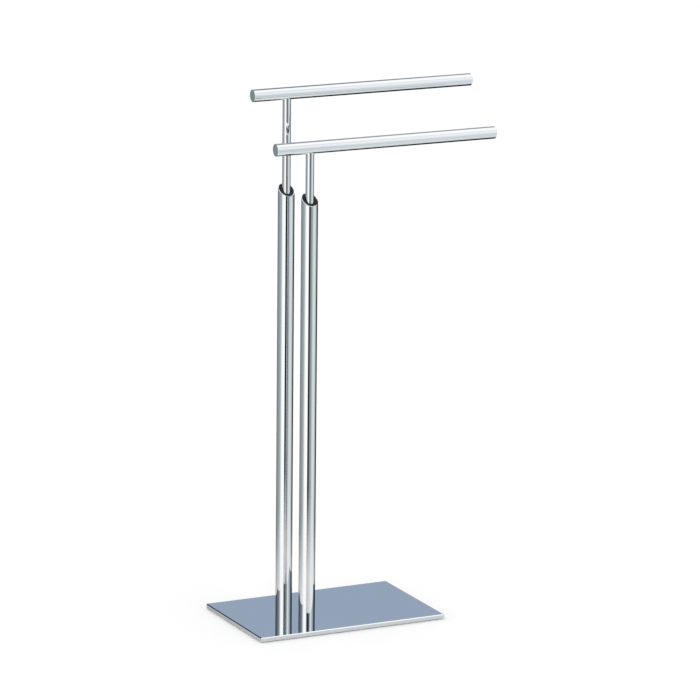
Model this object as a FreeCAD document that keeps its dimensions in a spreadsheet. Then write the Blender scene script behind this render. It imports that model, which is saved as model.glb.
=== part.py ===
"""Freestanding towel stand with two swivelling arms.

A flat steel plate carries two upright tubes, one behind the other. Each tube is cut off
at a slant at its top and holds a thinner rod, which turns in two nylon bushes inside the
tube. Each rod carries a horizontal bar that reaches far out to one side. The rear bar is
the higher one, so it can swing right round over the front one.

Frame: millimetres, +Z up, origin on the floor under the centre of the plate.
+X runs along the bars towards their long ends, +Y from the front post to the rear post.
"""

import FreeCAD, Part
import math
import os
import re

import Sketcher

doc = FreeCAD.newDocument("TowelStand")


# ---------------------------------------------------------------- driving dimensions

SIZES = [
    # base plate and the pad under it
    ("plate_length", 310.0, "along the bars"),
    ("plate_width", 202.0, "front to back"),
    ("plate_thickness", 6.5, "steel"),
    ("plate_corner_radius", 2.0, "upright edges"),
    ("plate_edge_bevel", 1.2, "polished bevel round the top face"),
    ("sole_thickness", 1.5, "anti-slip sole"),
    ("sole_inset", 4.0, "sole edge inside the plate edge"),
    # the two posts
    ("post_setback", 51.0, "posts left of the plate centre"),
    ("post_spacing", 82.0, "front post to rear post"),
    ("tube_diameter", 25.4, "one-inch chromed tube"),
    ("tube_wall", 1.2, ""),
    ("tube_axis_length", 655.0, "plate to the slant cut, on the tube axis"),
    ("slant_angle", 35.0, "slant cut above the horizontal, rising to the back"),
    # tapped plug in the foot of each tube, and its screw
    ("plug_height", 14.0, "plug welded into the tube foot"),
    ("post_screw_thread", 8.0, ""),
    ("post_screw_length", 16.0, "countersunk screw, over all"),
    ("post_screw_head", 15.0, "head diameter"),
    ("post_screw_socket", 5.0, "hexagon across flats"),
    ("post_screw_socket_depth", 2.6, ""),
    ("screw_hole_clearance", 0.4, "on the diameter, in plain holes"),
    ("sole_hole_diameter", 20.0, "access to the screw heads"),
    # nylon bushes that the arm rods turn in
    ("guide_length", 34.0, "upper bush, on its axis"),
    ("guide_recess", 1.0, "upper bush below the slant cut, on the axis"),
    ("cup_floor", 8.0, "lower bush, under the rod"),
    ("cup_wall_height", 14.0, "lower bush, beside the rod"),
    ("rod_insertion", 115.0, "rod end below the slant cut, on the axis"),
    # arms
    ("rod_diameter", 12.7, "half-inch chromed tube"),
    ("rod_wall", 1.6, ""),
    ("rear_arm_rise", 147.5, "slant cut to bar axis"),
    ("front_arm_rise", 79.0, "slant cut to bar axis"),
    ("bar_diameter", 19.0, "three-quarter-inch chromed tube"),
    ("bar_wall", 1.2, ""),
    ("bar_length", 367.0, "over the end caps"),
    ("bar_overhang", 57.0, "short end, from the rod axis"),
    # end caps of the bars
    ("cap_thickness", 3.0, "the part that shows"),
    ("cap_chamfer", 0.3, ""),
    ("cap_spigot_length", 9.0, "inside the bar"),
    ("cap_spigot_wall", 1.8, ""),
    # the screwed joint between rod and bar
    ("insert_length", 16.0, "tapped insert in the rod's top end"),
    ("insert_gap", 1.0, "insert below the bar"),
    ("stud_thread", 6.0, ""),
    ("stud_length", 24.0, "set screw, half in the rod and half in the bar"),
    ("stud_socket", 3.0, "hexagon across flats"),
    ("stud_socket_depth", 3.5, ""),
    ("nut_length", 22.0, "half-round nut inside the bar"),
    ("nut_rise", 1.5, "flat of the nut above the bar axis"),
    # fits
    ("fixed_gap", 0.04, "all round a pressed, glued or screwed fit"),
    ("running_gap", 0.08, "all round a rod that turns in its bush"),
    ("edge_break", 0.6, "small chamfers on turned pieces"),
]

sheet = doc.addObject("Spreadsheet::Sheet", "Sizes")
for row, (alias, value, note) in enumerate(SIZES, start=1):
    sheet.set(f"A{row}", alias)
    sheet.set(f"B{row}", str(value))
    sheet.set(f"C{row}", note)
    sheet.setAlias(f"B{row}", alias)

doc.recompute()

# Sizes that follow from the driving ones, each written once as a formula.
RELATED = {
    "plate_top": "plate_thickness + sole_thickness",
    "tube_radius": "tube_diameter / 2",
    "tube_bore_radius": "tube_radius - tube_wall",
    "slant_rise": "tube_radius * tan(slant_angle * 1 deg)",
    "tube_top_height": "plate_top + tube_axis_length",
    "bushing_radius": "tube_bore_radius - fixed_gap",
    "rod_radius": "rod_diameter / 2",
    "rod_bore_radius": "rod_radius - rod_wall",
    "rod_hole_radius": "rod_radius + running_gap",
    "rod_foot_height": "tube_top_height - rod_insertion",
    "guide_foot_height": "tube_top_height - guide_recess - guide_length",
    "rear_bar_height": "tube_top_height + rear_arm_rise",
    "front_bar_height": "tube_top_height + front_arm_rise",
    "bar_radius": "bar_diameter / 2",
    "bar_bore_radius": "bar_radius - bar_wall",
    "nut_radius": "bar_bore_radius - fixed_gap",
    "screw_radius": "post_screw_thread / 2",
    "screw_head_radius": "post_screw_head / 2",
    "screw_tap_radius": "screw_radius + fixed_gap",
    "screw_hole_radius": "screw_radius + screw_hole_clearance / 2",
    "screw_cone_height": "screw_head_radius - screw_radius",
    "stud_radius": "stud_thread / 2",
    "stud_tap_radius": "stud_radius + fixed_gap",
    "stud_hole_radius": "stud_radius + screw_hole_clearance / 2",
}
ALIASES = {alias for alias, value, note in SIZES}


def bound(text):
    """The same formula with every named size traced back to its cell in the sheet."""

    def cell(word):
        name = word[0]
        if name in RELATED:
            return f"({bound(RELATED[name])})"
        return f"Sizes.{name}" if name in ALIASES else name

    return re.sub("[a-z_]+", cell, text)


def number(text):
    """The value of a formula of named sizes."""
    value = sheet.evalExpression(bound(text))
    return float(getattr(value, "Value", value))


# ---------------------------------------------------------------- how pieces are made

TINY = 1e-6
nodes = []


def new_body(label, x="0", y="0", z="0"):
    """A body for one named piece, set down at a place given by formulas."""
    body = doc.addObject("PartDesign::Body", label)
    body.Label = label
    for axis, formula in zip("xyz", (x, y, z)):
        body.setExpression(f"Placement.Base.{axis}", bound(formula))
    nodes.append(body)
    return body


def plane_of(body, role):
    """One of the body's own origin planes or axes."""
    return next(part for part in body.Origin.OriginFeatures if part.Role == role)


def new_sketch(body, name, role):
    sketch = body.newObject("Sketcher::SketchObject", name)
    sketch.AttachmentSupport = [(plane_of(body, role), "")]
    sketch.MapMode = "FlatFace"
    return sketch


def edge_names(shape, wanted):
    """The edges of a shape whose bounding boxes pass a test."""
    return [f"Edge{n}" for n, edge in enumerate(shape.Edges, start=1) if wanted(edge.BoundBox)]


def tie(sketch, constraint, formula):
    """Adds a dimension and binds it to the sheet."""
    index = sketch.addConstraint(constraint)
    sketch.setExpression(f"Constraints[{index}]", bound(formula))


def pin_point(sketch, geometry, point, u, v):
    """Fixes one point of a sketch at formulas u, v from the sketch's origin."""
    for kind, formula in (("DistanceX", u), ("DistanceY", v)):
        value = number(formula)
        if abs(value) < TINY:
            line = -2 if kind == "DistanceX" else -1
            sketch.addConstraint(Sketcher.Constraint("PointOnObject", geometry, point, line))
        elif value > 0:
            tie(sketch, Sketcher.Constraint(kind, -1, 1, geometry, point, value), formula)
        else:
            tie(sketch, Sketcher.Constraint(kind, geometry, point, -1, 1, -value), f"-({formula})")


def draw_circle(sketch, radius, u="0", v="0"):
    centre = FreeCAD.Vector(number(u), number(v), 0)
    circle = sketch.addGeometry(Part.Circle(centre, FreeCAD.Vector(0, 0, 1), number(radius)))
    tie(sketch, Sketcher.Constraint("Radius", circle, number(radius)), radius)
    pin_point(sketch, circle, 3, u, v)


def draw_outline(sketch, points):
    """A closed outline of straight lines through points given as pairs of formulas."""
    places = [FreeCAD.Vector(number(u), number(v), 0) for u, v in points]
    lines = []
    for start, end in zip(places, places[1:] + places[:1]):
        lines.append(sketch.addGeometry(Part.LineSegment(start, end)))
    for line, following in zip(lines, lines[1:] + lines[:1]):
        sketch.addConstraint(Sketcher.Constraint("Coincident", line, 2, following, 1))
    for line, (u, v) in zip(lines, points):
        pin_point(sketch, line, 1, u, v)


def draw_rectangle(sketch, length, width):
    """A rectangle round the sketch's origin."""
    half_u, half_v = f"({length}) / 2", f"({width}) / 2"
    draw_outline(
        sketch,
        [
            (f"-{half_u}", f"-{half_v}"),
            (half_u, f"-{half_v}"),
            (half_u, half_v),
            (f"-{half_u}", half_v),
        ],
    )


def draw_hexagon(sketch, across_flats):
    """A regular hexagon round the sketch's origin, with two corners on the U axis."""
    corner = f"({across_flats}) / sqrt(3)"
    half_side = f"({across_flats}) / sqrt(3) / 2"
    half_flat = f"({across_flats}) / 2"
    draw_outline(
        sketch,
        [
            (corner, "0"),
            (half_side, half_flat),
            (f"-{half_side}", half_flat),
            (f"-({corner})", "0"),
            (f"-{half_side}", f"-{half_flat}"),
            (half_side, f"-{half_flat}"),
        ],
    )


def turned(label, outline, x="0", y="0", z="0"):
    """A piece turned about its own Z axis. The outline is in radius and height."""
    body = new_body(label, x, y, z)
    sketch = new_sketch(body, label + "_profile", "XZ_Plane")
    draw_outline(sketch, outline)
    turn = body.newObject("PartDesign::Revolution", label + "_turn")
    turn.Profile = sketch
    turn.ReferenceAxis = (plane_of(body, "Z_Axis"), [""])
    turn.Angle = 360
    return body


def pad(body, sketch, name, length):
    made = body.newObject("PartDesign::Pad", name)
    made.Profile = sketch
    made.setExpression("Length", bound(length))
    return made


def cut_through(body, sketch, name):
    """A pocket that runs right through the piece, both ways from its sketch."""
    before = body.Shape.Volume
    made = body.newObject("PartDesign::Pocket", name)
    made.Profile = sketch
    made.Type = "ThroughAll"
    made.Midplane = True
    doc.recompute()
    check_cut(body, before, name)


def check_cut(body, before, name):
    """Stops the build if a cut took nothing away."""
    if not body.Shape.Volume < before - TINY:
        raise RuntimeError(f"{name} cuts nothing")


def socket(body, across_flats, depth, name):
    """A hexagon socket in the lower end of a turned piece."""
    doc.recompute()
    before = body.Shape.Volume
    sketch = new_sketch(body, name + "_hexagon", "XY_Plane")
    draw_hexagon(sketch, across_flats)
    made = body.newObject("PartDesign::Pocket", name)
    made.Profile = sketch
    made.setExpression("Length", bound(depth))
    made.Reversed = True
    doc.recompute()
    check_cut(body, before, name)


# ---------------------------------------------------------------- base plate and sole

POST_X = "-post_setback"
REAR_Y = "post_spacing / 2"
FRONT_Y = "-post_spacing / 2"
POSTS = (("rear", REAR_Y, "rear_bar_height"), ("front", FRONT_Y, "front_bar_height"))


def make_plate():
    """The heavy plate: bevelled top edge, two countersunk holes from below."""
    body = new_body("base_plate", z="sole_thickness")
    outline = new_sketch(body, "plate_outline", "XY_Plane")
    draw_rectangle(outline, "plate_length", "plate_width")
    slab = pad(body, outline, "plate_slab", "plate_thickness")
    doc.recompute()

    rounded = body.newObject("PartDesign::Fillet", "plate_corners")
    rounded.Base = (slab, edge_names(slab.Shape, lambda box: box.ZLength > box.DiagonalLength / 2))
    rounded.setExpression("Radius", bound("plate_corner_radius"))
    doc.recompute()

    top = rounded.Shape.BoundBox.ZMax
    bevel = body.newObject("PartDesign::Chamfer", "plate_bevel")
    bevel.Base = (rounded, edge_names(rounded.Shape, lambda box: top - box.ZMin < TINY))
    bevel.setExpression("Size", bound("plate_edge_bevel"))
    doc.recompute()

    # One countersunk hole, turned about the front post's axis. The sketch plane faces the
    # front, so a positive offset moves it forwards.
    before = body.Shape.Volume
    hole = new_sketch(body, "screw_hole_profile", "XZ_Plane")
    hole.setExpression("AttachmentOffset.Base.x", bound(POST_X))
    hole.setExpression("AttachmentOffset.Base.z", bound("post_spacing / 2"))
    draw_outline(
        hole,
        [
            ("0", "0"),
            ("screw_head_radius + screw_hole_clearance / 2", "0"),
            ("screw_hole_radius", "screw_cone_height"),
            ("screw_hole_radius", "plate_thickness"),
            ("0", "plate_thickness"),
        ],
    )
    sink = body.newObject("PartDesign::Groove", "screw_hole")
    sink.Profile = hole
    sink.ReferenceAxis = (hole, ["V_Axis"])
    sink.Angle = 360
    doc.recompute()
    check_cut(body, before, "screw_hole")

    before = body.Shape.Volume
    pair = body.newObject("PartDesign::Mirrored", "screw_hole_pair")
    pair.Originals = [sink]
    pair.MirrorPlane = (plane_of(body, "XZ_Plane"), [""])
    body.Tip = pair
    doc.recompute()
    check_cut(body, before, "screw_hole_pair")


def make_sole():
    """Thin anti-slip sheet glued under the plate, open round the screw heads."""
    body = new_body("anti_slip_sole")
    sketch = new_sketch(body, "sole_outline", "XY_Plane")
    draw_rectangle(sketch, "plate_length - 2 * sole_inset", "plate_width - 2 * sole_inset")
    for name, y, height in POSTS:
        draw_circle(sketch, "sole_hole_diameter / 2", POST_X, y)
    pad(body, sketch, "sole_sheet", "sole_thickness")


# ---------------------------------------------------------------- posts


def cut_slant(body, name, height):
    """Cuts a piece off at the slant of the tube tops, which faces the front."""
    wedge = new_sketch(body, name + "_wedge", "YZ_Plane")
    low, high = f"{height} - 2 * slant_rise", f"{height} + 2 * slant_rise"
    reach = "2 * tube_radius"
    draw_outline(wedge, [(f"-({reach})", low), (reach, high), (f"-({reach})", high)])
    cut_through(body, wedge, name)


def make_tube(name, y):
    """Upright tube with a slanted top."""
    body = new_body(f"{name}_post_tube", POST_X, y, "plate_top")
    ring = new_sketch(body, f"{name}_tube_ring", "XY_Plane")
    draw_circle(ring, "tube_radius")
    draw_circle(ring, "tube_bore_radius")
    pad(body, ring, f"{name}_tube_length", "tube_axis_length + slant_rise")
    doc.recompute()
    cut_slant(body, f"{name}_tube_slant", "tube_axis_length")


def make_foot_plug(name, y):
    """Tapped steel plug in the foot of the tube."""
    rim = "bushing_radius"
    turned(
        f"{name}_foot_plug",
        [
            ("screw_tap_radius", "0"),
            (rim, "0"),
            (rim, "plug_height - edge_break"),
            (f"{rim} - edge_break", "plug_height"),
            ("screw_tap_radius", "plug_height"),
        ],
        POST_X,
        y,
        "plate_top",
    )


def make_post_screw(name, y):
    """Countersunk socket screw, driven up through the plate into the foot plug."""
    body = turned(
        f"{name}_post_screw",
        [
            ("0", "0"),
            ("screw_head_radius", "0"),
            ("screw_radius", "screw_cone_height"),
            ("screw_radius", "post_screw_length - edge_break"),
            ("screw_radius - edge_break", "post_screw_length"),
            ("0", "post_screw_length"),
        ],
        POST_X,
        y,
        "sole_thickness",
    )
    socket(body, "post_screw_socket", "post_screw_socket_depth", f"{name}_screw_socket")


def make_guide_bush(name, y):
    """Upper nylon bush: keeps the rod central, with its top just inside the slanted rim."""
    outer, inner = "bushing_radius", "rod_hole_radius"
    body = turned(
        f"{name}_guide_bush",
        [
            (inner, "edge_break"),
            (f"{inner} + edge_break", "0"),
            (f"{outer} - edge_break", "0"),
            (outer, "edge_break"),
            (outer, "guide_length + slant_rise"),
            (inner, "guide_length + slant_rise"),
        ],
        POST_X,
        y,
        "guide_foot_height",
    )
    doc.recompute()
    cut_slant(body, f"{name}_bush_slant", "guide_length")


def make_cup_bush(name, y):
    """Lower nylon bush: a cup that the rod's end stands in."""
    outer, inner = "bushing_radius", "rod_hole_radius"
    turned(
        f"{name}_cup_bush",
        [
            ("0", "0"),
            (outer, "0"),
            (outer, "cup_floor + cup_wall_height"),
            (f"{inner} + edge_break", "cup_floor + cup_wall_height"),
            (inner, "cup_floor + cup_wall_height - edge_break"),
            (inner, "cup_floor"),
            ("0", "cup_floor"),
        ],
        POST_X,
        y,
        "rod_foot_height - cup_floor",
    )


# ---------------------------------------------------------------- arms


def make_rod(name, y, bar_height):
    """Arm rod, with a saddle at its top that fits the underside of the bar."""
    length = f"{bar_height} - rod_foot_height"
    body = new_body(f"{name}_arm_rod", POST_X, y, "rod_foot_height")
    ring = new_sketch(body, f"{name}_rod_ring", "XY_Plane")
    draw_circle(ring, "rod_radius")
    draw_circle(ring, "rod_bore_radius")
    pad(body, ring, f"{name}_rod_length", length)
    doc.recompute()

    saddle = new_sketch(body, f"{name}_saddle_circle", "YZ_Plane")
    draw_circle(saddle, "bar_radius", "0", length)
    cut_through(body, saddle, f"{name}_saddle")


def make_rod_insert(name, y, bar_height):
    """Tapped insert pressed into the top end of the rod."""
    rim = "rod_bore_radius - fixed_gap"
    turned(
        f"{name}_rod_insert",
        [
            ("stud_tap_radius", "0"),
            (rim, "0"),
            (rim, "insert_length - edge_break"),
            (f"{rim} - edge_break", "insert_length"),
            ("stud_tap_radius", "insert_length"),
        ],
        POST_X,
        y,
        f"{bar_height} - bar_radius - insert_gap - insert_length",
    )


def make_stud(name, y, bar_height):
    """Set screw that joins the rod's insert to the nut in the bar."""
    body = turned(
        f"{name}_arm_stud",
        [
            ("0", "0"),
            ("stud_radius - edge_break", "0"),
            ("stud_radius", "edge_break"),
            ("stud_radius", "stud_length - edge_break"),
            ("stud_radius - edge_break", "stud_length"),
            ("0", "stud_length"),
        ],
        POST_X,
        y,
        f"{bar_height} - bar_radius - stud_length / 2",
    )
    socket(body, "stud_socket", "stud_socket_depth", f"{name}_stud_socket")


def make_bar_nut(name, y, bar_height):
    """Half-round nut that lies in the bore of the bar, over the rod."""
    body = new_body(f"{name}_bar_nut", POST_X, y, bar_height)
    section = new_sketch(body, f"{name}_nut_section", "YZ_Plane")
    section.setExpression("AttachmentOffset.Base.z", bound("-nut_length / 2"))
    radius, rise = number("nut_radius"), number("nut_rise")
    start = math.asin(rise / radius)
    arc = Part.ArcOfCircle(
        Part.Circle(FreeCAD.Vector(0, 0, 0), FreeCAD.Vector(0, 0, 1), radius),
        math.pi - start,
        2 * math.pi + start,
    )
    arc_id = section.addGeometry(arc)
    chord = section.addGeometry(Part.LineSegment(arc.EndPoint, arc.StartPoint))
    section.addConstraint(Sketcher.Constraint("Coincident", arc_id, 3, -1, 1))
    section.addConstraint(Sketcher.Constraint("Coincident", arc_id, 2, chord, 1))
    section.addConstraint(Sketcher.Constraint("Coincident", chord, 2, arc_id, 1))
    section.addConstraint(Sketcher.Constraint("Horizontal", chord))
    tie(section, Sketcher.Constraint("Radius", arc_id, radius), "nut_radius")
    tie(section, Sketcher.Constraint("DistanceY", -1, 1, chord, 1, rise), "nut_rise")
    pad(body, section, f"{name}_nut_blank", "nut_length")
    doc.recompute()

    tapping = new_sketch(body, f"{name}_nut_tapping", "XY_Plane")
    draw_circle(tapping, "stud_tap_radius")
    cut_through(body, tapping, f"{name}_nut_hole")


def make_bar(name, y, bar_height):
    """Towel bar: a straight tube with one hole for the stud in its underside."""
    tube_length = "(bar_length - 2 * cap_thickness)"
    body = new_body(f"{name}_towel_bar", POST_X, y, bar_height)
    ring = new_sketch(body, f"{name}_bar_ring", "YZ_Plane")
    ring.setExpression("AttachmentOffset.Base.z", bound("cap_thickness - bar_overhang"))
    draw_circle(ring, "bar_radius")
    draw_circle(ring, "bar_bore_radius")
    pad(body, ring, f"{name}_bar_length", tube_length)
    doc.recompute()

    before = body.Shape.Volume
    hole = new_sketch(body, f"{name}_stud_hole_circle", "XY_Plane")
    draw_circle(hole, "stud_hole_radius")
    drilled = body.newObject("PartDesign::Pocket", f"{name}_stud_hole")
    drilled.Profile = hole
    drilled.setExpression("Length", bound("bar_diameter"))
    doc.recompute()
    check_cut(body, before, f"{name}_stud_hole")


def make_cap(name, side, y, bar_height):
    """End cap: a flush disc with a hollow spigot inside the bar."""
    rim, spigot = "bar_radius", "bar_bore_radius - fixed_gap"
    body = turned(
        f"{name}_bar_{side}_cap",
        [
            ("0", "0"),
            (f"{rim} - cap_chamfer", "0"),
            (rim, "cap_chamfer"),
            (rim, "cap_thickness"),
            (spigot, "cap_thickness"),
            (spigot, "cap_thickness + cap_spigot_length"),
            (f"{spigot} - cap_spigot_wall", "cap_thickness + cap_spigot_length"),
            (f"{spigot} - cap_spigot_wall", "cap_thickness"),
            ("0", "cap_thickness"),
        ],
        f"{POST_X} - bar_overhang" if side == "left" else f"{POST_X} - bar_overhang + bar_length",
        y,
        bar_height,
    )
    quarter = 90 if side == "left" else -90
    body.Placement.Rotation = FreeCAD.Rotation(FreeCAD.Vector(0, 1, 0), quarter)


make_plate()
make_sole()
for post, post_y, arm_height in POSTS:
    make_tube(post, post_y)
    make_foot_plug(post, post_y)
    make_post_screw(post, post_y)
    make_guide_bush(post, post_y)
    make_cup_bush(post, post_y)
    make_rod(post, post_y, arm_height)
    make_rod_insert(post, post_y, arm_height)
    make_stud(post, post_y, arm_height)
    make_bar_nut(post, post_y, arm_height)
    make_bar(post, post_y, arm_height)
    for end in ("left", "right"):
        make_cap(post, end, post_y, arm_height)


# ---------------------------------------------------------------- check and write

doc.recompute()
for item in doc.Objects:
    faults = [state for state in item.State if state in ("Invalid", "Error")]
    if faults:
        raise RuntimeError(f"{item.Label} is {faults}")
for node in nodes:
    if node.Shape.isNull() or not node.Shape.isValid() or not node.Shape.Solids:
        raise RuntimeError(f"{node.Label} has no valid solid")

os.makedirs("parts", exist_ok=True)
for node in nodes:
    node.Shape.exportStep(f"parts/{node.Label}.step")
    box = node.Shape.BoundBox
    print(
        f"{node.Label:22s} {len(node.Shape.Solids)} solid"
        f"  x {box.XMin:7.1f} {box.XMax:7.1f}  y {box.YMin:6.1f} {box.YMax:6.1f}"
        f"  z {box.ZMin:6.1f} {box.ZMax:6.1f}  {node.Shape.Volume / 1000:8.2f} cm3"
    )
print(f"{len(nodes)} pieces")
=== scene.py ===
# %% [markdown]
# # A freestanding towel stand in polished chrome
# The real stand is a heavy steel plate, two upright tubes cut on a slant at the top, and two arms
# that turn in them. Each arm is a thin rod that carries one long bar. The solids come from the packed
# model, so this lesson is about what the solids don't have: the mirror finish, the small marks of
# making and use, and the studio that the mirror needs, because chrome has no colour apart from its
# surroundings. The imported model is loaded first.

# %% Load the imported stand
import math

import bpy
from mathutils import Matrix, Vector

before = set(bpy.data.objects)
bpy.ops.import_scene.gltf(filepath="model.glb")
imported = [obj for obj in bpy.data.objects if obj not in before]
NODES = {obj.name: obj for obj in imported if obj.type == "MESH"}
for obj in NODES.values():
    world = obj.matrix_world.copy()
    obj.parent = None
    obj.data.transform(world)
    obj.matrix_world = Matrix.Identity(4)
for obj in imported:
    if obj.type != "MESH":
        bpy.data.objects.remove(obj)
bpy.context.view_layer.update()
print("packed nodes:", len(NODES))

# %% [markdown]
# ## The camera
# A long lens from seven metres keeps the two posts nearly parallel, as in a catalogue picture. A
# camera could be aimed with a constraint, but here its three directions are written down: which way
# it looks, what is to its right, and what is up. A small roll about the line of sight is the last
# step. The directions go straight into the camera's matrix, so nothing depends on an aim object.

# %% Camera
CAMERA_AT = Vector((-2.97399, -6.14804, 2.03851))
CAMERA_TURN = math.radians(26.106)    # to the right of straight ahead, which is +Y
CAMERA_TILT = math.radians(13.347)    # below the horizon
CAMERA_ROLL = math.radians(0.559)
LENS_MM = 237.5
SENSOR_MM = 36
CAMERA_REACH = 100                    # nothing beyond this distance is drawn, in metres


def camera_axes(turn, tilt, roll):
    """The view direction, the picture's right and the picture's up, as unit vectors."""
    level_part = math.cos(tilt)
    ahead = Vector((math.sin(turn) * level_part, math.cos(turn) * level_part, -math.sin(tilt)))
    level = Vector((math.cos(turn), -math.sin(turn), 0))
    upright = level.cross(ahead)
    right = math.cos(roll) * level + math.sin(roll) * upright
    return ahead, right, right.cross(ahead)


ahead, right, up = camera_axes(CAMERA_TURN, CAMERA_TILT, CAMERA_ROLL)
camera_turned = Matrix((right, up, -ahead)).transposed().to_4x4()
lens = bpy.data.cameras.new("studio_camera")
lens.lens = LENS_MM
lens.sensor_width = SENSOR_MM
lens.clip_end = CAMERA_REACH
camera = bpy.data.objects.new("studio_camera", lens)
bpy.context.scene.collection.objects.link(camera)
camera.matrix_world = Matrix.Translation(CAMERA_AT) @ camera_turned
bpy.context.scene.camera = camera
bpy.context.scene.view_settings.view_transform = "Standard"
print("camera looks along", [round(part, 3) for part in ahead])

# %% [markdown]
# ## Plain light
# The stand was pictured in a white studio. A world of plain white at strength 1 lights every matt
# surface evenly, and there a colour comes out as it is written. A camera that is held lower sees the
# same white beyond the floor. Lamps could be added, but on chrome a lamp is only one more shape in
# the mirror, and the panels further down are easier to shape.

# %% World
world = bpy.data.worlds.new("white_studio")
bpy.context.scene.world = world
world.use_nodes = True
background = world.node_tree.nodes["Background"].inputs
background["Color"].default_value = (1, 1, 1, 1)
background["Strength"].default_value = 1.0
print("world strength:", background["Strength"].default_value)

# %% [markdown]
# ## The floor
# The stand was pictured on a white table top that runs out of the picture on all sides. A curved
# backdrop could do the same, but from seven metres a single large square is enough, because its far
# edge lies above the top of the picture.

# %% Floor
FLOOR_HALF = 60.0
floor_corners = [(x * FLOOR_HALF, y * FLOOR_HALF, 0) for x, y in ((-1, -1), (1, -1), (1, 1), (-1, 1))]

floor_mesh = bpy.data.meshes.new("floor")
floor_mesh.from_pydata(floor_corners, [], [(0, 1, 2, 3)])
floor = bpy.data.objects.new("floor", floor_mesh)
bpy.context.scene.collection.objects.link(floor)
print("floor half size in m:", FLOOR_HALF)

# %% [markdown]
# ## Helpers for node trees
# Every finish below is a small tree of shader nodes. A tree could be written node by node and link by
# link, but then ten nodes take forty lines and the idea of the finish gets lost. So one helper adds
# a node and sets or joins its inputs in one line, one does a step of arithmetic, and one stretches a
# range of values to another.

# %% Node helpers
def add(tree, kind, inputs=None, **settings):
    """A new node with its settings, and its inputs set or joined."""
    node = tree.nodes.new(kind)
    for name, value in settings.items():
        setattr(node, name, value)
    for name, value in (inputs or {}).items():
        if isinstance(value, bpy.types.NodeSocket):
            tree.links.new(value, node.inputs[name])
        else:
            node.inputs[name].default_value = value
    return node


def calculate(tree, operation, first, second=0.0):
    """One step of arithmetic on one or two values."""
    return add(tree, "ShaderNodeMath", {0: first, 1: second}, operation=operation).outputs[0]


def spread(tree, value, low, high, start=0.0, end=1.0):
    """Stretches start to end so that it runs from low to high, and holds it there outside."""
    inputs = {"Value": value, "From Min": start, "From Max": end, "To Min": low, "To Max": high}
    return add(tree, "ShaderNodeMapRange", inputs).outputs[0]


print("node helpers:", add.__name__, calculate.__name__, spread.__name__)

# %% [markdown]
# ## The floor's paint
# A matt white takes the soft shadow round the plate, and a little light of its own, for the camera
# and for mirrors, lifts the rest to pure white. More lamps could do that too, but they would wash out
# the shadow and everything else. In the mirror of a post only the part of the floor near the stand
# counts: in a studio the table ends there and the panels begin, so for mirrors the floor fades out
# with distance.

# %% Floor values
FLOOR_WHITE = 0.97
FLOOR_LIFT = 0.05
TABLE_MIDDLE = Vector((-0.09, -0.19, 0))    # the table top reaches further towards the camera
TABLE_INNER = 0.16    # from here the floor fades in mirrors, in metres from its middle
TABLE_OUTER = 0.66    # and here it is gone
TABLE_GREY = 0.42     # share of the panels that mirrors show in its near part
print("the floor fades in mirrors from", TABLE_INNER, "to", TABLE_OUTER, "m")

# %% Floor paint
floor_paint = bpy.data.materials.new("floor_paint")
floor_paint.use_nodes = True
tree = floor_paint.node_tree
tree.nodes.clear()
rays = add(tree, "ShaderNodeLightPath").outputs
matt = add(tree, "ShaderNodeBsdfDiffuse", {"Color": (FLOOR_WHITE, FLOOR_WHITE, FLOOR_WHITE, 1)})
seen = calculate(tree, "MAXIMUM", rays["Is Camera Ray"], rays["Is Glossy Ray"])
seen = calculate(tree, "MAXIMUM", seen, rays["Is Transmission Ray"])
own_light = calculate(tree, "MULTIPLY", seen, FLOOR_LIFT)
lift = add(tree, "ShaderNodeEmission", {"Strength": own_light})
lit = add(tree, "ShaderNodeAddShader", {0: matt.outputs[0], 1: lift.outputs[0]})
place = add(tree, "ShaderNodeTexCoord").outputs["Object"]
from_middle = add(tree, "ShaderNodeVectorMath", {0: place, 1: TABLE_MIDDLE}, operation="DISTANCE")
fade = spread(tree, from_middle.outputs["Value"], TABLE_GREY, 1.0, TABLE_INNER, TABLE_OUTER)
gone = calculate(tree, "MULTIPLY", fade, rays["Is Glossy Ray"])
clear = add(tree, "ShaderNodeBsdfTransparent")
mixed = add(tree, "ShaderNodeMixShader", {0: gone, 1: lit.outputs[0], 2: clear.outputs[0]})
add(tree, "ShaderNodeOutputMaterial", {"Surface": mixed.outputs[0]})
floor_mesh.materials.append(floor_paint)
print("nodes in the floor's paint:", len(tree.nodes))

# %% [markdown]
# ## The panels that the chrome mirrors
# A chrome post shows a strip of everything round it, so a studio puts panels there on purpose: a
# bright soft box left of the camera, a dark gap beside the lens, a pale wall to the right, and dimmer
# walls and a blue-grey card behind. They could be separate cards, but one big dome with its
# brightness written round it is easier to read and to change. Each row below lists an angle from the
# lens, positive to its right, and a grey from 0 to 255, or the card's own colour.

# %% Tints and the card
WALL_TINT = (0.88, 1.0, 1.03)         # cool daylight on the lower walls
UPPER_TINT = (0.84, 1.0, 1.12)        # cooler again higher up
OVERHEAD_TINT = (0.97, 1.0, 1.01)
BACK_CARD = (0.315, 0.390, 0.500)     # the card behind, which the plate mirrors, in linear light
print("tints from the floor up:", WALL_TINT, UPPER_TINT, OVERHEAD_TINT)

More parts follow.
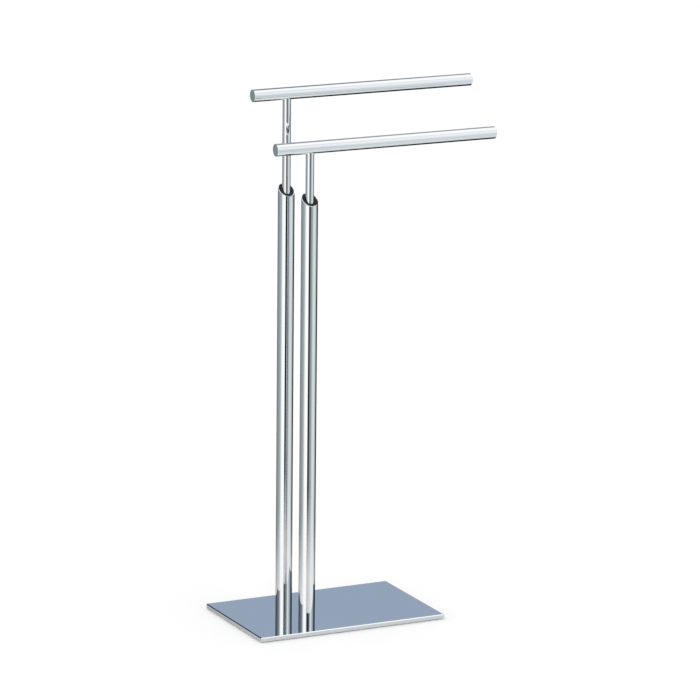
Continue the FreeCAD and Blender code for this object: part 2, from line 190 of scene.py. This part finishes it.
# %% Panels round the stand
LOW_WALL = (
    (-180, 30), (-165, 30), (-150, 95), (-128, 136), (-80, 162), (-62, 190), (-49, 245), (-30, 255),
    (-9, 255), (-5, 60), (-3, 5), (10, 5), (14, 90), (20, 142), (36, 152), (46, 180), (54, 212),
    (82, 222), (98, 206), (114, 150), (126, 70), (140, 10), (165, 10), (180, 30),
)
HIGH_WALL = (
    (-180, BACK_CARD), (-172, BACK_CARD), (-165, 20), (-152, 60), (-120, 82), (-84, 115), (-62, 150),
    (-50, 230), (-40, 255), (-8, 255), (0, 80), (5, 35), (18, 45), (32, 95), (44, 170), (52, 232),
    (66, 215), (80, 175), (100, 145), (112, 90), (122, 30), (134, 10), (165, 10), (172, BACK_CARD),
    (180, BACK_CARD),
)
UPPER_WALL = (
    (-180, BACK_CARD), (-168, BACK_CARD), (-140, 25), (-110, 90), (-70, 180), (-50, 245), (-20, 250),
    (20, 200), (57, 245), (90, 200), (130, 110), (160, 60), (172, BACK_CARD), (180, BACK_CARD),
)
OVERHEAD = (
    (-180, 60), (-168, 60), (-155, 235), (-100, 246), (-40, 255), (30, 236), (60, 220), (80, 255),
    (155, 250), (168, 60), (180, 60),
)
# Each row of panels, its tint, the height where it starts to take over from the row below, and where
# it has. A height is the sine of the angle above the horizon.
PANEL_ROWS = (
    (LOW_WALL, WALL_TINT, None, None),
    (HIGH_WALL, UPPER_TINT, -0.12, 0.12),
    (UPPER_WALL, UPPER_TINT, 0.29, 0.38),
    (OVERHEAD, OVERHEAD_TINT, 0.60, 0.72),
)
print("panels round the stand:", sum(len(row) for row, *_ in PANEL_ROWS))

# %% [markdown]
# ## The dome itself
# A real studio is a tent of panels round the product. Here it is one ball round the stand and the
# camera. Blender can add a ready ball, but a few lines that write its corners ring by ring need no
# operator, and there is nothing to rename or move afterwards. The ball is hidden from every kind of
# ray except mirror rays, so it gives no light to the floor and no shadow, and it is turned so that
# angle 0 of the panels lies at the lens.

# %% Dome mesh
DOME_RADIUS = 12.0
DOME_RINGS, DOME_SIDES = 24, 48


def dome_corner(ring, side):
    """The place of one corner, with ring 0 at the bottom."""
    climb = math.pi * (ring / DOME_RINGS - 0.5)
    turn = 2 * math.pi * side / DOME_SIDES
    reach = DOME_RADIUS * math.cos(climb)
    return reach * math.cos(turn), reach * math.sin(turn), DOME_RADIUS * math.sin(climb)


def dome_face(ring, side):
    """The numbers of the four corners between two rings and two sides."""
    below, above = ring * DOME_SIDES, (ring + 1) * DOME_SIDES
    beside = (side + 1) % DOME_SIDES
    return below + side, below + beside, above + beside, above + side


corners = [dome_corner(ring, side) for ring in range(DOME_RINGS + 1) for side in range(DOME_SIDES)]
faces = [dome_face(ring, side) for ring in range(DOME_RINGS) for side in range(DOME_SIDES)]
dome_mesh = bpy.data.meshes.new("studio_dome")
dome_mesh.from_pydata(corners, [], faces)
dome = bpy.data.objects.new("studio_dome", dome_mesh)
bpy.context.scene.collection.objects.link(dome)
dome.rotation_euler.z = math.atan2(-ahead.y, -ahead.x)
for ray in ("camera", "diffuse", "transmission", "volume_scatter", "shadow"):
    setattr(dome, "visible_" + ray, False)
print("dome faces:", len(faces))

# %% [markdown]
# ## Painting the panels
# Each row of panels becomes a colour ramp over the angle round the stand. The rows could be strips of
# faces, but every seam between two strips would show in the mirror as a hard line. A blend by height
# between the ramps is as soft as the edge of a real soft box. The paint only glows, and it isn't
# sampled as a lamp, because it lights nothing.

# %% Light of a panel
CHROME_MEAN = 0.94                    # chrome gives back this share of the light
WHITE_LEVEL = 255
TINT_RANGE = 60                       # a panel has its full tint from this far below white


def grey(level):
    """The linear value of a grey that is written as 0 to 255, by the curve that screens share."""
    share = level / WHITE_LEVEL
    return share / 12.92 if share <= 0.04045 else ((share + 0.055) / 1.055) ** 2.4


def panel_colour(level, tint):
    """The light of a panel that chrome shows at a grey level. The brightest panels have no tint."""
    share = min(1.0, (WHITE_LEVEL - level) / TINT_RANGE)
    return [grey(level) / CHROME_MEAN * part ** share for part in tint]


print("a grey of 128 on screen is", round(grey(128), 3), "in linear light")

# %% Ramp and mix
MIX_SHARE, MIX_FIRST, MIX_SECOND, MIX_RESULT = 0, 6, 7, 2    # where a mix node keeps its colours


def wall_ramp(tree, angle, row, tint):
    """A colour ramp over the angle round the stand, from -180 to 180 degrees."""
    ramp = add(tree, "ShaderNodeValToRGB", {"Fac": angle})
    stops = ramp.color_ramp.elements
    stops[0].position = 0
    stops[1].position = 1
    for turn, _ in row[1:-1]:
        stops.new((turn + 180) / 360)
    for stop, (_, level) in zip(stops, row):
        colour = level if isinstance(level, tuple) else panel_colour(level, tint)
        stop.color = (*colour, 1)
    return ramp.outputs["Color"]


def mix_colours(tree, share, first, second):
    """The colour that is the first at share 0 and the second at share 1. Either may be a socket."""
    inputs = {MIX_SHARE: share}
    for place, colour in ((MIX_FIRST, first), (MIX_SECOND, second)):
        inputs[place] = colour if isinstance(colour, bpy.types.NodeSocket) else (*colour, 1)
    return add(tree, "ShaderNodeMix", inputs, data_type="RGBA").outputs[MIX_RESULT]


print("helpers for colour:", wall_ramp.__name__, mix_colours.__name__)

# %% Dome paint
dome_paint = bpy.data.materials.new("studio_dome_paint")
dome_paint.use_nodes = True
dome_paint.cycles.emission_sampling = "NONE"
tree = dome_paint.node_tree
tree.nodes.clear()
place = add(tree, "ShaderNodeTexCoord").outputs["Object"]
direction = add(tree, "ShaderNodeVectorMath", {0: place}, operation="NORMALIZE").outputs["Vector"]
sweep = add(tree, "ShaderNodeTexGradient", {"Vector": direction}, gradient_type="RADIAL")
rise = add(tree, "ShaderNodeSeparateXYZ", {0: direction}).outputs["Z"]
panels = None
for row, tint, start, end in PANEL_ROWS:
    ramp = wall_ramp(tree, sweep.outputs["Fac"], row, tint)
    if panels is None:
        panels = ramp
    else:
        panels = mix_colours(tree, spread(tree, rise, 0, 1, start, end), panels, ramp)
glow = add(tree, "ShaderNodeEmission", {"Color": panels})
add(tree, "ShaderNodeOutputMaterial", {"Surface": glow.outputs[0]})
dome_mesh.materials.append(dome_paint)
print("rows of panels:", len(PANEL_ROWS))

# %% [markdown]
# ## Helpers for surfaces
# The finishes below share a few building blocks: noise that can be drawn out along one axis, a mask
# of a piece's edges, and a bump. The noise could follow a flat map of each surface, but the solids
# have none, so it is read in the piece's own space, and its scale is written as waves to the metre,
# which fits a small piece as well as a large one. The edge mask compares the true surface with a
# slightly rounded one: they differ at edges only. Four more helpers add up such marks, darken a
# colour, start a material and join the result to its shader.

# %% Noise, worn edges and bump
BEVEL_SAMPLES = 4
ALIKE_ON_EDGE, ALIKE_ON_FACE = 0.80, 0.995    # how far the two directions agree there


def drawn_out(axis, share):
    """The stretch of a noise that is drawn out along axis 0, 1 or 2. A smaller share draws more."""
    return [share if number == axis else 1.0 for number in range(3)]


def noise(tree, per_metre, stretch=(1, 1, 1), detail=3.0):
    """Noise in the piece's own space."""
    place = add(tree, "ShaderNodeTexCoord").outputs["Object"]
    place = add(tree, "ShaderNodeMapping", {"Vector": place, "Scale": stretch}).outputs[0]
    inputs = {"Vector": place, "Scale": per_metre, "Detail": detail}
    return add(tree, "ShaderNodeTexNoise", inputs).outputs["Fac"]


def edge_mask(tree, width):
    """1 along a piece's edges and 0 on its faces, within about width metres."""
    rounded = add(tree, "ShaderNodeBevel", {"Radius": width}, samples=BEVEL_SAMPLES).outputs[0]
    true = add(tree, "ShaderNodeNewGeometry").outputs["Normal"]
    alike = add(tree, "ShaderNodeVectorMath", {0: rounded, 1: true}, operation="DOT_PRODUCT")
    return spread(tree, alike.outputs["Value"], 1.0, 0.0, ALIKE_ON_EDGE, ALIKE_ON_FACE)


def bump(tree, height, strength, depth, before=None):
    """A bump of the given depth in metres, on top of an earlier bump."""
    inputs = {"Height": height, "Strength": strength, "Distance": depth}
    if before is not None:
        inputs["Normal"] = before
    return add(tree, "ShaderNodeBump", inputs).outputs[0]


print("a noise drawn out along z is stretched by", drawn_out(2, 0.05))

# %% From marks to a shader
def plus_share(tree, total, value, share):
    """A total with a share of another value added to it."""
    return calculate(tree, "ADD", total, calculate(tree, "MULTIPLY", value, share))


def darker(colour, share):
    """The colour at a share of its brightness."""
    return [part * share for part in colour]


def finish(name, metal):
    """A new material with its tree and its shader. metal is 1 for bare metal and 0 for the rest."""
    material = bpy.data.materials.new(name)
    material.use_nodes = True
    shader = material.node_tree.nodes["Principled BSDF"]
    shader.inputs["Metallic"].default_value = metal
    return material, material.node_tree, shader


def dress(tree, shader, colour, roughness, normal):
    """Joins what a finish has worked out to its shader."""
    for name, value in (("Base Color", colour), ("Roughness", roughness), ("Normal", normal)):
        tree.links.new(value, shader.inputs[name])


print("helpers for finishes:", [helper.__name__ for helper in (plus_share, darker, finish, dress)])

# %% [markdown]
# ## Chrome
# Bright chrome is a mirror with a faint cool tint. What keeps it from looking like a computer's
# mirror is small: lines left by the polishing belt along the tube, a slow waviness of the drawn wall
# that bends straight reflections a little, fingers' traces that dull it in patches, and edges where
# the plating has worn matt. Each one could be painted by hand, but then it would fit one piece only.
# Here each is a noise or an edge mask that moves roughness, tone or bump by a little.

# %% Marks in chrome
ALONG_X, ALONG_Z = 0, 2
CHROME_TINT = (0.93, 0.94, 0.955)

BELT_PER_METRE = 1400.0               # polishing lines across the piece
BELT_DRAWN = 0.02                     # lengthways they are fifty times as long as wide
BELT_RANGE = (0.5, 0.8)               # only the stronger lines dull the chrome
BELT_DULL = 0.02                      # roughness that they add
BELT_STRENGTH, BELT_DEPTH = 0.05, 0.00002

TRACES_PER_METRE = 26.0               # patches of about 4 cm
TRACE_RANGE = (0.40, 0.75)            # where the noise goes from clean to dull
TRACE_SHADE = 0.975                   # brightness of the dullest trace

WAVES_PER_METRE = 30.0                # waviness of the drawn wall
WAVE_DRAWN = 0.25
WAVE_DEPTH = 0.0002

CHROME_EDGE = 0.0007                  # width of the worn edges in metres
EDGE_DULL = 0.07
print("mm from one belt line to the next:", round(1000 / BELT_PER_METRE, 2))

# %% [markdown]
# ## The plate's ground sides and their painted shade
# The plate was cut from thick steel. Its sides were ground with upright strokes before plating and
# not polished, so they are duller than its top. They are also drawn darker than its top, and that
# darker colour is painted shade. They could have a material of their own, face by face, but a mask
# that measures how upright a face stands keeps one finish for the whole plate, and it changes softly
# over the bevel.

# %% Ground sides with painted shade
STROKES_PER_METRE = 900.0
STROKE_DRAWN = 0.05
STROKE_DULL = (0.12, 0.26)
SIDE_RANGE = (0.2, 0.5)               # how far a face may lean back and still be a side
SIDE_PAINTED_SHADE = 0.80                   # brightness of the sides, which is painted shade


def ground_and_shaded_sides(tree, dull, shade):
    """Grinding marks that dull the plate's sides, and painted shade that darkens them."""
    facing = add(tree, "ShaderNodeTexCoord").outputs["Normal"]
    up_or_down = add(tree, "ShaderNodeSeparateXYZ", {0: facing}).outputs["Z"]
    side = spread(tree, calculate(tree, "ABSOLUTE", up_or_down), 1, 0, *SIDE_RANGE)
    strokes = noise(tree, STROKES_PER_METRE, drawn_out(ALONG_Z, STROKE_DRAWN), 2.0)
    dull = plus_share(tree, dull, side, spread(tree, strokes, *STROKE_DULL))
    # painted shade: the sides' colour is a darker copy of the chrome tint
    return dull, mix_colours(tree, side, shade, darker(CHROME_TINT, SIDE_PAINTED_SHADE))


print("grinding adds a roughness of", STROKE_DULL)

# %% [markdown]
# ## Three chromes
# The marks now come together in one finish. Posts and rods were polished along their height, bars and
# plate along their length, and the thick plate is flatter than the thin tubes. Each could have a tree
# of its own, but they differ in a few numbers only, so one function makes all three.

# %% Chrome
def chrome(name, along, rough=(0.015, 0.045), wave=0.4, ground=False):
    """Polished chrome with belt lines along one axis. rough is its least and most roughness."""
    material, tree, shader = finish(name, 1.0)
    belt = noise(tree, BELT_PER_METRE, drawn_out(along, BELT_DRAWN), 2.0)
    traces = noise(tree, TRACES_PER_METRE, detail=5.0)
    slow = noise(tree, WAVES_PER_METRE, drawn_out(along, WAVE_DRAWN), 1.0)
    worn = edge_mask(tree, CHROME_EDGE)
    dull = spread(tree, traces, *rough, *TRACE_RANGE)
    dull = plus_share(tree, dull, spread(tree, belt, 0, 1, *BELT_RANGE), BELT_DULL)
    dull = plus_share(tree, dull, worn, EDGE_DULL)
    shade = mix_colours(tree, traces, CHROME_TINT, darker(CHROME_TINT, TRACE_SHADE))
    if ground:
        dull, shade = ground_and_shaded_sides(tree, dull, shade)
    waves = bump(tree, slow, wave, WAVE_DEPTH)
    dress(tree, shader, shade, dull, bump(tree, belt, BELT_STRENGTH, BELT_DEPTH, waves))
    return material


post_chrome = chrome("post_chrome", ALONG_Z)
bar_chrome = chrome("bar_chrome", ALONG_X)
# the plate's sides get grinding marks and painted shade
plate_chrome = chrome("plate_chrome", ALONG_X, rough=(0.012, 0.035), wave=0.12, ground=True)
print("chrome finishes:", post_chrome.name, bar_chrome.name, plate_chrome.name)

# %% [markdown]
# ## The end caps
# Each bar is closed by discs that were turned on a lathe and plated. The tool leaves rings round the
# middle that plating softens but doesn't hide, so a cap is a little duller than the bar. The rings
# could be cut into the mesh, but they are finer than a pixel. Here they are a noise over the distance
# from the disc's middle, which moves gloss, tone and bump together.

# %% Turned chrome for the end caps
CAP_TINT = (0.94, 0.98, 1.0)
CAP_RINGS = 60.0                      # turning rings over the whole width of the disc
RING_RANGE = (0.3, 0.7)
RING_DULL = (0.06, 0.13)
RING_SHADE = 0.955
RING_STRENGTH, RING_DEPTH = 0.15, 0.00003
CAP_TRACES_PER_METRE = 60.0
CAP_TRACE_DULL = 0.04
CAP_EDGE = 0.0005
CAP_EDGE_DULL = 0.08


def turned_chrome(name, tint):
    """Chrome over a face that was turned on a lathe, so it keeps faint rings round its middle."""
    material, tree, shader = finish(name, 1.0)
    place = add(tree, "ShaderNodeTexCoord").outputs["Generated"]
    to_middle = {"Vector": place, "Location": (0, -0.5, -0.5), "Scale": (0, 1, 1)}
    in_face = add(tree, "ShaderNodeMapping", to_middle).outputs[0]
    radius = add(tree, "ShaderNodeVectorMath", {0: in_face}, operation="LENGTH").outputs["Value"]
    outwards = {"W": calculate(tree, "MULTIPLY", radius, CAP_RINGS), "Scale": 1.0, "Detail": 2.0}
    rings = add(tree, "ShaderNodeTexNoise", outwards, noise_dimensions="1D").outputs["Fac"]
    traces = noise(tree, CAP_TRACES_PER_METRE, detail=5.0)
    worn = edge_mask(tree, CAP_EDGE)
    dull = spread(tree, rings, *RING_DULL, *RING_RANGE)
    dull = plus_share(tree, dull, traces, CAP_TRACE_DULL)
    dull = plus_share(tree, dull, worn, CAP_EDGE_DULL)
    shade = mix_colours(tree, rings, tint, darker(tint, RING_SHADE))
    dress(tree, shader, shade, dull, bump(tree, rings, RING_STRENGTH, RING_DEPTH))
    return material


cap_chrome = turned_chrome("cap_chrome", CAP_TINT)
print("cap finish:", cap_chrome.name)

# %% [markdown]
# ## The parts inside and underneath
# The plugs, screws, inserts and nuts are turned steel with thin zinc on it, the studs are black
# steel, the bushes are moulded black nylon, and the plate stands on a thin foam sole. They are hardly
# seen, and one plain grey would do for a picture, but the stand can be turned over or taken apart, so
# each gets a real finish: fine turning lines for the steel, a fine moulded grain for the nylon and
# open cells for the foam.

# %% Turned steel
NOISE_RANGE = (0.3, 0.7)              # nearly all of a noise lies between these values

TURNING_PER_METRE = 2600.0
TURNING_STRETCH = (0.15, 0.15, 1.0)   # the lines run round the piece
TURNING_DULL = 0.16                   # roughness from the finest to the deepest line
TURNING_STRENGTH, TURNING_DEPTH = 0.25, 0.00003

PLATING_PER_METRE = 140.0             # clouds in the plating
PLATING_SHARE, STEEL_EDGE_SHARE = 0.7, 0.5
STEEL_EDGE = 0.0004


def turned_steel(name, dark, light, rough):
    """Turned steel: fine lines round the piece, cloudy plating and brighter worn edges."""
    material, tree, shader = finish(name, 1.0)
    lines = noise(tree, TURNING_PER_METRE, TURNING_STRETCH, 3.0)
    cloud = noise(tree, PLATING_PER_METRE, detail=5.0)
    worn = edge_mask(tree, STEEL_EDGE)
    tone = calculate(tree, "MULTIPLY", cloud, PLATING_SHARE)
    tone = plus_share(tree, tone, worn, STEEL_EDGE_SHARE)
    shade = mix_colours(tree, tone, dark, light)
    dull = spread(tree, lines, rough, rough + TURNING_DULL, *NOISE_RANGE)
    dress(tree, shader, shade, dull, bump(tree, lines, TURNING_STRENGTH, TURNING_DEPTH))
    return material


zinc_steel = turned_steel("zinc_steel", (0.50, 0.52, 0.55), (0.74, 0.76, 0.78), rough=0.22)
dark_steel = turned_steel("dark_screw_steel", (0.035, 0.036, 0.04), (0.20, 0.20, 0.21), rough=0.34)
print("steel finishes:", zinc_steel.name, dark_steel.name)

# %% Nylon and foam
MOULD_CLOUDS_PER_METRE = 90.0
MOULD_RANGE = (0.1, 0.45)
MOULD_DULL = 0.15
MOULD_GLINT = 0.25                    # half of what the shader gives by itself
GRAIN_STRENGTH = 0.4


def soft_finish(name, dark, light, grain_per_metre, grain_depth, rough):
    """Moulded nylon or foam: a grain in the surface that also moves colour and dullness."""
    material, tree, shader = finish(name, 0.0)
    place = add(tree, "ShaderNodeTexCoord").outputs["Object"]
    grain = add(tree, "ShaderNodeTexVoronoi", {"Vector": place, "Scale": grain_per_metre})
    cells = grain.outputs["Distance"]
    cloud = noise(tree, MOULD_CLOUDS_PER_METRE, detail=4.0)
    tone = spread(tree, calculate(tree, "MULTIPLY", cells, cloud), 0, 1, *MOULD_RANGE)
    shade = mix_colours(tree, tone, dark, light)
    dull = spread(tree, cloud, rough, rough + MOULD_DULL, *NOISE_RANGE)
    shader.inputs["Specular IOR Level"].default_value = MOULD_GLINT
    dress(tree, shader, shade, dull, bump(tree, cells, GRAIN_STRENGTH, grain_depth))
    return material


black_nylon = soft_finish("black_nylon", (0.010, 0.010, 0.011), (0.030, 0.030, 0.032),
                          grain_per_metre=2400.0, grain_depth=0.00004, rough=0.42)
sole_foam = soft_finish("sole_foam", (0.020, 0.021, 0.023), (0.060, 0.062, 0.066),
                        grain_per_metre=1500.0, grain_depth=0.0002, rough=0.78)
print("soft finishes:", black_nylon.name, sole_foam.name)

# %% [markdown]
# ## Which piece has which finish
# The solids keep their own shapes, and only their finish changes. Each piece could be dressed by hand
# in its own line, but the finish follows the piece's name, with the two arms and the two posts alike,
# so a list of pairs is enough. A name that isn't in the list stops the script, so no solid is left in
# its plain colour.

# %% Finishes on the pieces
FINISHES = {
    "base_plate": plate_chrome,
    "anti_slip_sole": sole_foam,
    "post_tube": post_chrome,
    "foot_plug": zinc_steel,
    "post_screw": zinc_steel,
    "guide_bush": black_nylon,
    "cup_bush": black_nylon,
    "arm_rod": post_chrome,
    "rod_insert": zinc_steel,
    "arm_stud": dark_steel,
    "bar_nut": zinc_steel,
    "towel_bar": bar_chrome,
    "bar_left_cap": cap_chrome,
    "bar_right_cap": cap_chrome,
}
for name, node in sorted(NODES.items()):
    plain_name = name.replace("rear_", "").replace("front_", "")
    for slot in node.material_slots:
        slot.material = FINISHES[plain_name]
    print(name, "->", FINISHES[plain_name].name)
